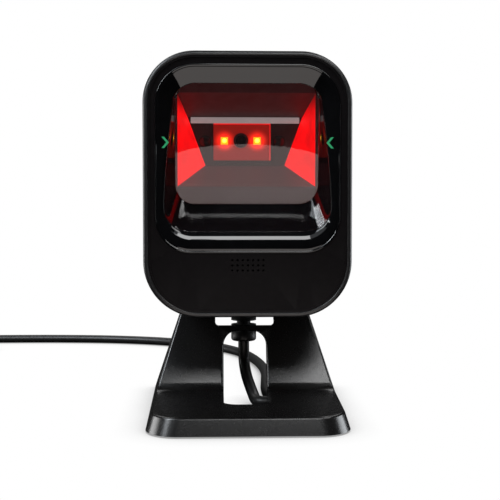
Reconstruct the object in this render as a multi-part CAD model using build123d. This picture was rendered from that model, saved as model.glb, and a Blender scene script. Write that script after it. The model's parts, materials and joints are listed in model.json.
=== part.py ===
from build123d import *
import os
from math import atan2, cos, pi, radians, sin, tan

# A hands-free presentation barcode scanner: an imager head that tilts on a wedge-shaped stand.
# Millimetres. +X is the viewer's right, -Y is the front, +Z is up, and the feet stand on z = 0.

# Overall sizes
stand_depth = 103.0          # base, front edge to rear edge
stand_width = 81.2          # base, side to side at the bottom, in line with the bend
side_taper = 1.5            # degrees, each side opens towards the rear
head_width = 81.5
head_height = 103.5
head_bottom_z = 43.2        # underside of the head above the table
running_gap = 0.3           # between pieces that move past each other

# Head housing
head_front_setback = 17.0   # base front edge to head front face
head_top_radius = 20.0
head_bottom_radius = 22.0
housing_wall = 2.4
rim_depth = 16.0            # straight band behind the front face
back_lean = 9.0             # degrees, the back wall leans forward at the top
back_bottom_depth = 72.0    # front face to back wall, at the bottom
back_width = 67.0
back_top_z_drop = 9.5       # the back wall's top below the head's top
back_bottom_z_rise = 1.2
back_radius = 17.0
back_edge_fillet = 6.5
rim_fillet = 1.5

# Front bezel and glossy window surround
bezel_inset = 1.9           # head outline to bezel outline
bezel_gap = 0.12            # parting line
bezel_thickness = 2.6
bezel_bead = 0.7            # raised bead round the bezel's edge
bezel_face_recess = 0.35    # matte face behind the bead
surround_width = 71.9
surround_height = 73.1
surround_top_gap = 5.2      # head's upper edge to surround's upper edge
surround_top_radius = 15.5
surround_bottom_radius = 14.0
surround_band = 6.0         # crowned band between rim and scoop
surround_skirt = 3.2
surround_wall = 1.5
surround_gap = 0.1

# Scan window
window_width = 57.2
window_height = 48.6        # along the leaning pane
window_radius = 7.6
window_lean = 10.0          # degrees, top towards the front
window_setback = 9.4        # head front face to the pane's middle
window_centre_drop = 35.2   # head's upper edge to the pane's middle
window_overlap = 1.3        # pane behind the surround, each side
window_thickness = 1.8
gasket_thickness = 0.8
gasket_width = 1.1

# Optical hood behind the window
hood_wall = 1.3
hood_gap = 0.2
mouth_width = 56.0
mouth_bottom_drop = 51.9    # below the head's upper edge
mouth_top_drop = 14.1
mouth_gap = 0.25            # pane to the frame behind it, at the pane's lower edge
panel_setback = 40.0        # front face to the dark back panel
panel_top_drop = 21.5
panel_bottom_drop = 42.2
panel_top_width = 49.2
panel_bottom_width = 34.0
panel_thickness = 1.4
panel_flange = 2.6
bar_radius = 1.3

# Illumination chamber, imager and boards
chamber_width = 24.6
chamber_height = 16.2
chamber_centre_drop = 31.8
chamber_depth = 8.0
chamber_wall = 1.0
chamber_offset = -1.2       # the chamber sits a little left of the middle
led_spacing = 14.4
led_body = 3.2
led_height = 1.0
led_dome_radius = 1.3
led_rise = 1.0              # above the chamber's middle
led_shift = -0.4            # left of the chamber's middle
imager_barrel_radius = 3.2
imager_barrel_length = 3.6
imager_lens_radius = 2.2
aimer_spacing = 31.8
aimer_radius = 2.6
board_thickness = 1.6
led_board_width = 42.0
led_board_height = 30.0
main_board_width = 42.0
main_board_bottom_rise = 21.0
main_board_top_drop = 20.5
main_board_setback = 53.5
chip_size = 14.0
chip_height = 1.4
chip_rise = 11.0            # board's lower edge to the chip's middle
jack_width = 14.0
jack_height = 12.0
jack_depth = 7.0

# Speaker and its grille
grille_columns = 7
grille_rows = 3
grille_pitch = 2.02
grille_hole_radius = 0.42
grille_gap = 4.8            # surround's lower edge to the grille's middle
speaker_width = 18.0
speaker_height = 8.4
speaker_corner = 2.0
speaker_thickness = 4.0
cloth_thickness = 0.4

# Green aiming chevrons set into the surround's sides
chevron_height = 4.3
chevron_depth = 2.3
chevron_stroke = 1.0
chevron_inset = 2.6         # surround edge to the chevron's outer tips
chevron_centre_drop = 35.5
chevron_thickness = 0.5

# Tilt hinge
hinge_rise = 9.0            # hinge axis above the head's underside
hinge_setback = 69.0        # base front edge to hinge axis
hinge_offset = 16.0         # middle of each knuckle from the centre plane
knuckle_width = 6.0
knuckle_radius = 5.2
pin_radius = 1.6
pin_clearance = 0.05
ear_thickness = 1.6
washer_thickness = 0.5
washer_radius = 4.0
ear_radius = 4.6
bracket_length = 12.0
knuckle_slot_front = 12.0   # slot in the head's floor, ahead of the hinge axis
knuckle_slot_rear = 8.0
floor_pad_rise = 4.1        # flat pad inside the floor, above the head's underside
floor_pad_width = 46.0

# Strain relief
boot_setback = 77.0         # base front edge to the cable exit
boot_core_radius = 3.1
boot_rib_radius = 5.7
boot_rib_thickness = 1.4
boot_rib_pitch = 3.3
boot_ribs = 3
boot_collar_height = 4.2
boot_length = 17.2
boot_plug_radius = 4.0      # part that passes through the housing floor
boot_flange_radius = 5.2
boot_flange_height = 1.6

# Stand
stand_wall = 2.8
foot_height = 0.6           # rubber stands below the base
base_corner_radius = 13.0
lip_height = 6.5            # front lip, bottom to plate top
lip_slope = 2.6             # plate edge set back from the bottom edge
plate_rise = 1.4            # plate rises towards the bend
bend_setback = 49.0
bend_radius = 6.0
panel_top_setback = 64.6
stand_top_z = 40.5
side_lean = 17.6            # degrees, each side leans inwards going up
panel_top_length = 4.0
rear_toe_height = 3.0       # height of the side walls at the very back
stand_edge_fillet = 1.2
slot_width = 18.6
slot_radius = 6.0
slot_top_z = 32.3
slot_front_setback = 24.8
slot_bevel = 1.2
notch_width = 25.8
notch_bottom_z = 34.4
notch_radius = 1.5
rear_pad_width = 7.0
rear_pad_height = 2.0
rear_pad_front_setback = 57.0

# Ballast, bottom cover, feet and screws
cover_thickness = 1.4
cover_rear_setback = 53.0
slot_collar_wall = 1.6
ballast_thickness = 1.5
ballast_margin = 1.0
foot_length = 22.0
foot_width = 6.0
foot_recess = 0.5
rear_foot_length = 30.0
rear_foot_width = 5.0
screw_radius = 1.25
screw_head_radius = 2.3
screw_head_height = 1.3
housing_screw_length = 9.0
cover_screw_length = 2.2

# Cable, coil and plug
cable_radius = 2.5
cable_lift = 0.05           # underside of the cable above the table
coil_mid_radius = 27.5
coil_half_width = 7.5
coil_height = 13.4
coil_edge_fillet = 2.4
tie_width = 8.0
tie_thickness = 0.8
tail_length = 26.0
plug_boot_length = 11.0
plug_body_length = 25.0
plug_body_width = 15.6
plug_body_height = 8.0
plug_shell_length = 14.5
plug_shell_width = 12.0
plug_shell_height = 4.5
plug_shell_wall = 0.35
plug_tongue_height = 1.9

# Places worked out from the sizes above
base_front_y = -stand_depth / 2
base_rear_y = stand_depth / 2
head_front_y = base_front_y + head_front_setback
head_centre_z = head_bottom_z + head_height / 2
head_top_z = head_bottom_z + head_height
rim_back_y = head_front_y + rim_depth
back_bottom_y = head_front_y + back_bottom_depth
bezel_face_y = head_front_y + bezel_face_recess
bezel_back_y = head_front_y + bezel_thickness
surround_bottom_z = head_top_z - surround_top_gap - surround_height
surround_centre_z = surround_bottom_z + surround_height / 2
window_y = head_front_y + window_setback
window_z = head_top_z - window_centre_drop
window_half_height = window_height / 2 + window_overlap
window_stack = gasket_thickness + window_thickness
window_foot_y = window_y + window_half_height * sin(radians(window_lean)) + window_stack
mouth_y = window_foot_y + mouth_gap + hood_wall
mouth_bottom_z = head_top_z - mouth_bottom_drop
mouth_top_z = head_top_z - mouth_top_drop
panel_y = head_front_y + panel_setback
panel_bottom_z = head_top_z - panel_bottom_drop
panel_top_z = head_top_z - panel_top_drop
chamber_z = head_top_z - chamber_centre_drop
grille_z = surround_bottom_z - grille_gap
led_board_y = panel_y + panel_thickness + chamber_depth + hood_gap
main_board_y = head_front_y + main_board_setback
main_board_low_z = head_bottom_z + main_board_bottom_rise
main_board_high_z = head_top_z - main_board_top_drop
hinge_y = base_front_y + hinge_setback
hinge_z = head_bottom_z + hinge_rise
floor_pad_z = head_bottom_z + floor_pad_rise
boot_y = base_front_y + boot_setback
boot_bottom_z = head_bottom_z - boot_length
bend_y = base_front_y + bend_setback
plate_front_z = foot_height + lip_height
plate_bend_z = plate_front_z + plate_rise
panel_top_y = base_front_y + panel_top_setback
panel_lean = atan2(panel_top_y - bend_y, stand_top_z - plate_bend_z)
plate_slope = atan2(plate_rise, bend_setback - lip_slope)
cable_z = cable_radius + cable_lift

# The cable's route, chosen by hand: down from the boot, a tight bight on the table inside the
# stand, back out under it and away to the left. Depth is counted from the base's front edge.
drop_route = [
    (0.0, 77.0, 26.0),
    (0.0, 77.0, 18.4),
    (0.3, 72.4, 12.4),
    (1.0, 65.2, 6.6),
    (2.3, 58.0, cable_z + 0.2),
]
run_route = [
    (4.9, 53.9, cable_z),
    (9.0, 53.8, cable_z),
    (11.6, 57.0, cable_z),
    (11.6, 62.2, cable_z),
    (10.7, 69.2, cable_z),
    (10.3, 80.5, cable_z),
    (11.3, 99.5, cable_z),
    (13.0, 129.0, cable_z),
    (10.2, 162.0, cable_z),
    (2.6, 193.0, cable_z),
    (-13.0, 219.0, cable_z),
    (-40.0, 239.0, cable_z),
    (-74.0, 251.5, cable_z),
    (-112.0, 256.5, cable_z),
    (-150.0, 257.0, cable_z),
    (-184.0, 255.6, cable_z),
]
coil_centre_x = -192.0
coil_centre_setback = 223.5


def front_plane(y, z):
    """A plane that faces the viewer: local x to the right, local y up."""
    return Plane(origin=(0, y, z), x_dir=(1, 0, 0), z_dir=(0, -1, 0))


def leaning_plane(y, z, lean):
    """The same plane with its top leaning towards the viewer by lean degrees."""
    turn = radians(lean)
    return Plane(origin=(0, y, z), x_dir=(1, 0, 0), z_dir=(0, -cos(turn), -sin(turn)))


def outline(width, height, top_radius, bottom_radius):
    """A rectangle about the origin with one corner radius above and another below."""
    shape = Rectangle(width, height)
    shape = fillet(shape.vertices().group_by(Axis.Y)[-1], top_radius)
    return fillet(shape.vertices().group_by(Axis.Y)[0], bottom_radius)


def slab(width, height, top_radius, bottom_radius, y, z, depth):
    """An outline pushed back from the plane y by depth."""
    return extrude(front_plane(y, z) * outline(width, height, top_radius, bottom_radius), -depth)


def block(x, y, z):
    """A box between pairs of limits along each axis."""
    size = Box(x[1] - x[0], y[1] - y[0], z[1] - z[0])
    return Pos((x[0] + x[1]) / 2, (y[0] + y[1]) / 2, (z[0] + z[1]) / 2) * size


def rod(centre, radius, length, direction="Z"):
    """A cylinder whose middle is at centre, along one axis."""
    turns = {"X": Rot(0, 90, 0), "Y": Rot(90, 0, 0), "Z": Rot(0, 0, 0)}
    return Pos(*centre) * turns[direction] * Cylinder(radius, length)


def side_profile(points, width):
    """A closed (y, z) outline pushed to both sides of the centre plane."""
    face = Plane.YZ * make_face(Polyline(*points, close=True))
    return extrude(face, width / 2, both=True)


# Head housing

def head_form(inset):
    """The head's form moved inwards by inset: a straight rim, then a back that tapers."""
    width = head_width - 2 * inset
    height = head_height - 2 * inset
    top_radius = head_top_radius - inset
    bottom_radius = head_bottom_radius - inset
    rim = slab(width, height, top_radius, bottom_radius, head_front_y, head_centre_z, rim_depth)
    mouth = front_plane(rim_back_y, head_centre_z) * outline(width, height, top_radius, bottom_radius)
    low_z = head_bottom_z + back_bottom_z_rise + inset
    high_z = head_top_z - back_top_z_drop - inset
    middle_z = (low_z + high_z) / 2
    lean = radians(back_lean)
    middle_y = back_bottom_y - inset / cos(lean) - (middle_z - head_bottom_z) * tan(lean)
    back_height = (high_z - low_z) / cos(lean)
    back_face = leaning_plane(middle_y, middle_z, back_lean) * outline(
        back_width - 2 * inset, back_height, back_radius - inset, back_radius - inset
    )
    form = rim + loft([mouth.face(), back_face.face()], ruled=True)
    back_edges = form.faces().sort_by(Axis.Y)[-1].edges()
    return fillet(back_edges, back_edge_fillet - inset / 2)


def knuckle_slots():
    """Slots in the head's floor that the stand's knuckles pass through."""
    half = knuckle_width / 2 + 2 * running_gap
    depth = (hinge_y - knuckle_slot_front, hinge_y + knuckle_slot_rear)
    slots = []
    for side in (-1, 1):
        middle = side * hinge_offset
        slots.append(block((middle - half, middle + half), depth, (head_bottom_z - 1, floor_pad_z + 1)))
    return slots


def floor_pad():
    """The thick flat stretch of the floor that the hinge brackets and the sleeve stand on."""
    half = floor_pad_width / 2
    front = hinge_y - bracket_length / 2 - 2
    rear = boot_y + boot_flange_radius + 1
    pad = block((-half, half), (front, rear), (head_bottom_z, floor_pad_z))
    return pad & head_form(housing_wall / 2)


def housing_screw_places():
    """Where the four screws enter the back of the head, as (x, z)."""
    across = main_board_width / 2 + 5.0
    heights = (head_bottom_z + 24.0, head_top_z - 27.0)
    return [(x, z) for x in (-across, across) for z in heights]


def back_wall_y(z):
    """The outside of the leaning back wall at a height."""
    return back_bottom_y - (z - head_bottom_z) * tan(radians(back_lean))


def make_rear_housing():
    form = head_form(0)
    form = fillet(form.faces().sort_by(Axis.Y)[0].edges(), rim_fillet)
    shell = form - head_form(housing_wall)
    shell -= slab(
        head_width - 2 * bezel_inset,
        head_height - 2 * bezel_inset,
        head_top_radius - bezel_inset,
        head_bottom_radius - bezel_inset,
        head_front_y - 1,
        head_centre_z,
        1 + bezel_thickness + bezel_gap,
    )
    shell += floor_pad()
    shell -= knuckle_slots()
    shell -= rod((0, boot_y, head_bottom_z), boot_plug_radius + 0.05, 12)
    for x, z in housing_screw_places():
        face_y = back_wall_y(z)
        boss = rod((x, face_y - housing_screw_length / 2 - 1, z), 3.2, housing_screw_length, "Y")
        shell += boss & head_form(housing_wall / 2)
        shell -= rod((x, face_y - 6, z), screw_radius, 16, "Y")
        shell -= rod((x, face_y, z), screw_head_radius + 0.25, 2 * screw_head_height + 1.2, "Y")
    return shell


def make_front_bezel():
    gap = bezel_inset + bezel_gap
    width = head_width - 2 * gap
    height = head_height - 2 * gap
    top_radius = head_top_radius - gap
    bottom_radius = head_bottom_radius - gap
    plate = slab(
        width, height, top_radius, bottom_radius, head_front_y, head_centre_z, bezel_thickness
    )
    plate -= slab(
        width - 2 * bezel_bead,
        height - 2 * bezel_bead,
        top_radius - bezel_bead,
        bottom_radius - bezel_bead,
        head_front_y - 1,
        head_centre_z,
        1 + bezel_face_recess,
    )
    plate -= slab(
        surround_width + 2 * surround_gap,
        surround_height + 2 * surround_gap,
        surround_top_radius + surround_gap,
        surround_bottom_radius + surround_gap,
        head_front_y - 1,
        surround_centre_z,
        bezel_thickness + 2,
    )
    return plate - grille_holes(bezel_thickness + 2)


def grille_places():
    """The middles of the grille's holes, as (x, z)."""
    places = []
    for row in range(grille_rows):
        for column in range(grille_columns):
            x = (column - (grille_columns - 1) / 2) * grille_pitch
            z = grille_z + (row - (grille_rows - 1) / 2) * grille_pitch
            places.append((x, z))
    return places


def grille_holes(length):
    return [rod((x, bezel_face_y, z), grille_hole_radius, 2 * length, "Y") for x, z in grille_places()]


def window_opening(grow, depth_shift, thickness):
    """The window's outline, larger by grow each side, pushed back through the leaning pane."""
    plane = leaning_plane(window_y, window_z, window_lean).offset(-depth_shift)
    radius = window_radius + grow
    shape = outline(window_width + 2 * grow, window_height + 2 * grow, radius, radius)
    return extrude(plane * shape, -thickness)


def surround_funnel(grow):
    """The scooped recess from the crest down to the window, larger by grow."""
    crest_width = surround_width - 2 * surround_band + 2 * grow
    crest_height = surround_height - 2 * surround_band + 2 * grow
    crest = front_plane(head_front_y + 0.1, surround_centre_z) * outline(
        crest_width,
        crest_height,
        surround_top_radius - surround_band + grow,
        surround_bottom_radius - surround_band + 2 + grow,
    )
    radius = window_radius + grow
    pane = leaning_plane(window_y, window_z, window_lean) * outline(
        window_width + 2 * grow, window_height + 2 * grow, radius, radius
    )
    return loft([crest.face(), pane.face()], ruled=True)


def make_window_surround():
    ring = slab(
        surround_width,
        surround_height,
        surround_top_radius,
        surround_bottom_radius,
        head_front_y + 0.1,
        surround_centre_z,
        surround_skirt,
    )
    body = ring + surround_funnel(surround_wall)
    body -= surround_funnel(0)
    body -= window_opening(0, -1, 4)
    for side in (-1, 1):
        body -= chevron_prism(side, 0.05, chevron_thickness)
    return body


def make_window_gasket():
    radius = window_radius + window_overlap
    outer = window_opening(window_overlap, 0.02, gasket_thickness)
    inner = window_opening(window_overlap - gasket_width, 0, gasket_thickness + 1)
    return outer - inner


def make_scan_window():
    return window_opening(window_overlap, gasket_thickness + 0.04, window_thickness)


def chevron_prism(side, grow, depth):
    """A chevron that points at the window, on one side of the surround."""
    half = chevron_height / 2
    tip = chevron_depth
    stroke = chevron_stroke
    points = [
        (0, half),
        (stroke, half),
        (tip + stroke / 2, 0),
        (stroke, -half),
        (0, -half),
        (tip - stroke / 2, 0),
    ]
    shape = make_face(Polyline(*points, close=True))
    if side > 0:
        shape = mirror(shape, Plane.YZ)
    if grow > 0:
        shape = offset(shape, grow)
    x = side * (surround_width / 2 - chevron_inset)
    z = head_top_z - chevron_centre_drop
    plane = Plane(origin=(x, head_front_y + 0.1, z), x_dir=(1, 0, 0), z_dir=(0, -1, 0))
    return extrude(plane * shape, -(depth + grow))


# Optics

def section(y, points):
    """A closed (x, z) outline on the plane y."""
    return front_plane(y, 0) * make_face(Polyline(*points, close=True))


def mouth_points(grow):
    half = mouth_width / 2 + grow
    low = mouth_bottom_z - grow
    high = mouth_top_z + grow
    return [(-half, low), (half, low), (half, high), (-half, high)]


def panel_points(grow):
    low_half = panel_bottom_width / 2 + grow
    high_half = panel_top_width / 2 + grow
    low = panel_bottom_z - grow
    high = panel_top_z + grow
    return [(-low_half, low), (low_half, low), (high_half, high), (-high_half, high)]


def hood_form(grow):
    """The space between the window's mouth and the back panel, larger by grow."""
    mouth = section(mouth_y, mouth_points(grow))
    back = section(panel_y, panel_points(grow))
    return loft([mouth.face(), back.face()], ruled=True)


def reflector_cutter(side, grow):
    """A wedge that holds one side wall of the hood and leaves its floor and roof."""
    low = mouth_bottom_z
    high = mouth_top_z
    mouth_half = mouth_width / 2
    front = [
        (side * (mouth_half - grow), low + grow),
        (side * (mouth_half + 6), low + grow),
        (side * (mouth_half + 6), high - grow),
        (side * (mouth_half - grow), high - grow),
    ]
    low_back = panel_bottom_z
    high_back = panel_top_z
    back = [
        (side * (panel_bottom_width / 2 - grow), low_back + grow),
        (side * (panel_top_width / 2 + 6), low_back + grow),
        (side * (panel_top_width / 2 + 6), high_back - grow),
        (side * (panel_top_width / 2 - grow), high_back - grow),
    ]
    return loft([section(mouth_y, front).face(), section(panel_y, back).face()], ruled=True)


def hood_shell():
    return hood_form(hood_wall) - hood_form(0)


def make_optical_hood():
    """Roof and floor of the hood with the frame that meets the back of the pane."""
    shell = hood_shell()
    for side in (-1, 1):
        shell -= reflector_cutter(side, 0)
    frame_y = mouth_y - hood_wall
    reach = window_overlap + 0.2
    collar = window_opening(reach, gasket_thickness + window_thickness + 0.1, 14)
    collar -= window_opening(reach - hood_wall, 0, 20)
    collar &= block((-60, 60), (head_front_y, mouth_y), (0, 200))
    frame = slab(
        window_width + 2 * reach,
        window_height * cos(radians(window_lean)) + 2 * reach,
        window_radius + reach,
        window_radius + reach,
        frame_y,
        window_z,
        hood_wall,
    )
    frame -= extrude(section(frame_y - 1, mouth_points(0)), -4)
    return collar + frame + shell


def make_reflector(side):
    """One side wall of the hood, which throws the red light forwards."""
    return hood_shell() & reflector_cutter(side, hood_gap / 2)


def make_back_panel():
    """The dark panel at the back of the hood, open for the chamber."""
    plate = extrude(section(panel_y + 0.02, panel_points(panel_flange)), -panel_thickness)
    plate -= chamber_block(0, panel_y - 1, 4)
    for x in aimer_places():
        plate -= rod((x, panel_y, chamber_z), aimer_radius * 0.7, 6, "Y")
    return plate


def chamber_block(grow, y, depth):
    half_width = chamber_width / 2 + grow
    half_height = chamber_height / 2 + grow
    return block(
        (chamber_offset - half_width, chamber_offset + half_width),
        (y, y + depth),
        (chamber_z - half_height, chamber_z + half_height),
    )


def make_chamber():
    """The open box round the light sources."""
    start = panel_y + panel_thickness + 0.04
    return chamber_block(chamber_wall, start, chamber_depth) - chamber_block(0, start - 1, 20)


def make_light_bar():
    """The rounded bar under the hood's roof, where it meets the back panel."""
    length = panel_top_width - 2.8
    z = panel_top_z - bar_radius - 0.1
    return rod((0, panel_y - bar_radius - 0.02, z), bar_radius, length, "X")


def aimer_places():
    return [chamber_offset + side * aimer_spacing / 2 for side in (-1, 1)]


def make_aimer(x):
    """A dark domed lens seated in the back panel."""
    dome = Pos(x, panel_y + 0.3, chamber_z) * Sphere(aimer_radius)
    dome -= block((x - 5, x + 5), (panel_y, panel_y + 6), (chamber_z - 5, chamber_z + 5))
    stem = rod((x, panel_y + panel_thickness / 2, chamber_z), aimer_radius * 0.68, panel_thickness, "Y")
    return dome + stem


def make_led_board():
    half = led_board_width / 2
    high = led_board_height / 2
    return block(
        (chamber_offset - half, chamber_offset + half),
        (led_board_y, led_board_y + board_thickness),
        (chamber_z - high, chamber_z + high),
    )


def make_led(side):
    """A light source: a square package with a clear dome that faces the window."""
    x = chamber_offset + led_shift + side * led_spacing / 2
    half = led_body / 2
    z = chamber_z + led_rise
    face_y = led_board_y - led_height
    package = block((x - half, x + half), (face_y, led_board_y), (z - half, z + half))
    dome = Pos(x, face_y, z) * Sphere(led_dome_radius)
    return package + (dome & block((x - half, x + half), (face_y - 5, face_y), (z - half, z + half)))


def make_imager_barrel():
    x = chamber_offset + led_shift
    y = led_board_y - imager_barrel_length / 2
    barrel = rod((x, y, chamber_z + led_rise), imager_barrel_radius, imager_barrel_length, "Y")
    mouth = rod((x, led_board_y - imager_barrel_length, chamber_z + led_rise), imager_lens_radius, 2.4, "Y")
    return barrel - mouth


def make_imager_lens():
    x = chamber_offset + led_shift
    y = led_board_y - imager_barrel_length + 1.2 - 0.45
    return rod((x, y, chamber_z + led_rise), imager_lens_radius, 0.9, "Y")


# Boards, jack and speaker

def make_main_board():
    half = main_board_width / 2
    depth = (main_board_y, main_board_y + board_thickness)
    return block((-half, half), depth, (main_board_low_z, main_board_high_z))


def make_board_spacers():
    """Four posts that carry the main board from the light-source board's corners."""
    posts = []
    for x in (-18.0, 18.0):
        for z in (chamber_z - 12.0, chamber_z + 8.0):
            gap = main_board_y - led_board_y - board_thickness
            middle = led_board_y + board_thickness + gap / 2
            posts.append(rod((chamber_offset + x, middle, z), 2.0, gap, "Y"))
    return posts


def make_decode_chip():
    half = chip_size / 2
    z = main_board_low_z + chip_rise
    y = main_board_y - chip_height
    return block((-half, half), (y, main_board_y), (z - half, z + half))


def make_cable_jack():
    half = jack_width / 2
    low = main_board_low_z
    back = main_board_y + board_thickness
    body = block((-half, half), (back, back + jack_depth), (low, low + jack_height))
    return body - rod((0, boot_y, low), cable_radius + 0.1, 14)


def speaker_slab(grow, y, depth):
    width = speaker_width + 2 * grow
    height = speaker_height + 2 * grow
    corner = speaker_corner + grow
    return slab(width, height, corner, corner, y, grille_z, depth)


def make_speaker():
    y = bezel_back_y + cloth_thickness
    return speaker_slab(0, y, speaker_thickness) - speaker_slab(-1.0, y - 1, 1.8)


def make_grille_cloth():
    return speaker_slab(0, bezel_back_y, cloth_thickness)


def make_housing_screw(x, z):
    face_y = back_wall_y(z)
    seat = face_y - screw_head_height - 0.6
    shank = rod((x, seat - 3.5, z), screw_radius, 7, "Y")
    head = rod((x, seat + screw_head_height / 2, z), screw_head_radius, screw_head_height, "Y")
    recess = rod((x, seat + screw_head_height, z), 0.9, 1.4, "Y")
    return shank + head - recess


# Hinge and strain relief

def ear_limits(side):
    """Where the two ears stand beside one knuckle, as pairs of x limits."""
    half = knuckle_width / 2 + washer_thickness + 0.05
    middle = side * hinge_offset
    return [
        (middle - half - ear_thickness, middle - half),
        (middle + half, middle + half + ear_thickness),
    ]


def make_hinge_bracket(side):
    """Two ears joined by a wall behind them, on the head's floor, that turn on the hinge pin."""
    front = hinge_y - bracket_length / 2
    rear = hinge_y + bracket_length / 2
    wall_front = hinge_y + knuckle_slot_rear + running_gap
    body = []
    for low, high in ear_limits(side):
        ear = block((low, high), (front, wall_front), (floor_pad_z, hinge_z - 1))
        ear += rod(((low + high) / 2, hinge_y, hinge_z), ear_radius, high - low, "X")
        body.append(ear & block((low, high), (front, wall_front), (floor_pad_z, hinge_z + 20)))
    (outer_low, _), (_, outer_high) = ear_limits(side)
    wall = block((outer_low, outer_high), (wall_front, wall_front + 2), (floor_pad_z, hinge_z - 1))
    bracket = (body[0] + body[1] + wall) & head_form(housing_wall)
    return bracket - rod((side * hinge_offset, hinge_y, hinge_z), pin_radius + pin_clearance, 30, "X")


def make_hinge_pin(side):
    length = knuckle_width + 2 * (washer_thickness + ear_thickness) + 1.4
    return rod((side * hinge_offset, hinge_y, hinge_z), pin_radius, length, "X")


def make_washer(side, end):
    x = side * hinge_offset + end * (knuckle_width / 2 + washer_thickness / 2)
    disc = rod((x, hinge_y, hinge_z), washer_radius, washer_thickness, "X")
    return disc - rod((x, hinge_y, hinge_z), pin_radius, 4, "X")


def make_strain_relief():
    """A ribbed sleeve: flange on the floor pad, plug through it, ribs and an end collar below."""
    bottom = boot_bottom_z
    body = rod((0, boot_y, (floor_pad_z + bottom) / 2), boot_core_radius, floor_pad_z - bottom)
    plug_low = head_bottom_z + 0.6
    body += rod((0, boot_y, (plug_low + floor_pad_z) / 2), boot_plug_radius, floor_pad_z - plug_low)
    body += rod((0, boot_y, floor_pad_z + boot_flange_height / 2), boot_flange_radius, boot_flange_height)
    collar = rod((0, boot_y, bottom + boot_collar_height / 2), boot_rib_radius, boot_collar_height)
    body += fillet(collar.edges().group_by(Axis.Z)[0], 1.2)
    first = bottom + boot_collar_height + boot_rib_pitch - boot_rib_thickness / 2
    for index in range(boot_ribs):
        z = first + index * boot_rib_pitch
        body += rod((0, boot_y, z), boot_rib_radius, boot_rib_thickness)
    return body


# Stand

def side_flare(y):
    """How far each side has opened at a depth, counted from the bend."""
    return (y - bend_y) * tan(radians(side_taper))


def side_reach(z, inset=0.0):
    """Half of the stand's width at a height, at the bend's depth."""
    return stand_width / 2 - (z - foot_height) * tan(radians(side_lean)) - inset


def stand_cross(inset):
    """The panel's front view as a prism along Y, moved inwards by inset; it is wide below the bend."""
    top = stand_top_z + 10
    half = [(stand_width, -5), (stand_width, plate_bend_z)]
    half += [(side_reach(z, inset), z) for z in (plate_bend_z, top)]
    ends = []
    for y in (base_front_y - 10, base_rear_y + 20):
        right = [(x + side_flare(y), z) for x, z in half]
        left = [(-x, z) for x, z in reversed(right)]
        ends.append(front_plane(y, 0) * make_face(Polyline(*right, *left, close=True)))
    return loft([ends[0].face(), ends[1].face()], ruled=True)


def plan_outline(z, inset):
    """The base's plan at a height, with round front corners."""
    share = (z - foot_height) / lip_height
    front = base_front_y + share * lip_slope + inset
    rear = base_rear_y + (20 if inset else 0)
    narrow = side_reach(z, inset) + side_flare(front)
    wide = side_reach(z, inset) + side_flare(rear)
    points = [(-narrow, front), (narrow, front), (wide, rear), (-wide, rear)]
    shape = make_face(Polyline(*points, close=True))
    return fillet(shape.vertices().group_by(Axis.Y)[0], base_corner_radius - inset - share)


def plan_form(inset, low_z):
    """The base's plan from the bottom up to the bend, then straight up."""
    low = Plane.XY.offset(low_z) * plan_outline(foot_height, inset)
    high = Plane.XY.offset(plate_bend_z) * plan_outline(plate_bend_z, inset)
    base = loft([low.face(), high.face()], ruled=True)
    return base + extrude(high, stand_top_z)


def panel_front_y(z):
    """The front of the leaning panel at a height."""
    return bend_y + (z - plate_bend_z) * tan(panel_lean)


def stand_side_points():
    """The stand's side view: plate, leaning panel, short top and long rear slope."""
    ahead = 6.0
    return [
        (base_front_y - ahead, foot_height),
        (base_front_y - ahead, plate_front_z - (ahead + lip_slope) * tan(plate_slope)),
        (bend_y, plate_bend_z),
        (panel_top_y, stand_top_z),
        (panel_top_y + panel_top_length, stand_top_z),
        (base_rear_y, foot_height + rear_toe_height),
        (base_rear_y, foot_height),
    ]


def hollow_side_points():
    """The hollow under the plate and behind the panel, a wall's thickness inside."""
    roof_drop = stand_wall / cos(plate_slope)
    back = stand_wall / cos(panel_lean)
    roof_front = plate_front_z - roof_drop
    roof_back = plate_bend_z - roof_drop
    high = stand_top_z + 8
    return [
        (base_front_y, foot_height - 2),
        (base_front_y, roof_front - lip_slope * tan(plate_slope)),
        (panel_front_y(roof_back) + back, roof_back),
        (panel_front_y(high) + back, high),
        (base_rear_y + 12, high),
        (base_rear_y + 12, foot_height - 2),
    ]


def is_outer_corner(edge):
    """True on the plate's rim, the bend's two ends, and the panel's sides and top."""
    start = edge @ 0
    middle = edge @ 0.5
    end = edge @ 1
    along_bend = abs(middle.X) < 0.1 and plate_front_z + 1 < middle.Z < stand_top_z - 1
    raised = min(start.Z, end.Z) > plate_front_z - 0.1
    return raised and middle.Y < hinge_y - 1 and not along_bend


def stand_solid():
    """The stand's outer form before it is hollowed."""
    side = side_profile(stand_side_points(), 2 * stand_width)
    bend = side.edges().filter_by_position(Axis.Z, plate_bend_z - 0.01, plate_bend_z + 0.01)
    side = fillet(bend.filter_by(Axis.X), bend_radius)
    form = side & stand_cross(0) & plan_form(0, foot_height)
    return fillet([edge for edge in form.edges() if is_outer_corner(edge)], stand_edge_fillet)


def slot_cut(grow):
    """The cable slot: up the leaning panel and forward over the bend into the plate."""
    half = slot_width / 2 + grow
    low = -20.0
    high = slot_top_z + grow
    face = Pos(0, (low + high) / 2) * Rectangle(2 * half, high - low)
    face = fillet(face.vertices().group_by(Axis.Y)[-1], slot_radius)
    upright = extrude(front_plane(bend_y - 4, 0) * face, -40)
    front = base_front_y + slot_front_setback - grow
    rear = bend_y + 12
    flat = Pos(0, (front + rear) / 2) * Rectangle(2 * half, rear - front)
    flat = fillet(flat.vertices().group_by(Axis.Y)[0], slot_radius)
    return upright + extrude(Plane.XY.offset(-5) * flat, 30)


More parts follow.
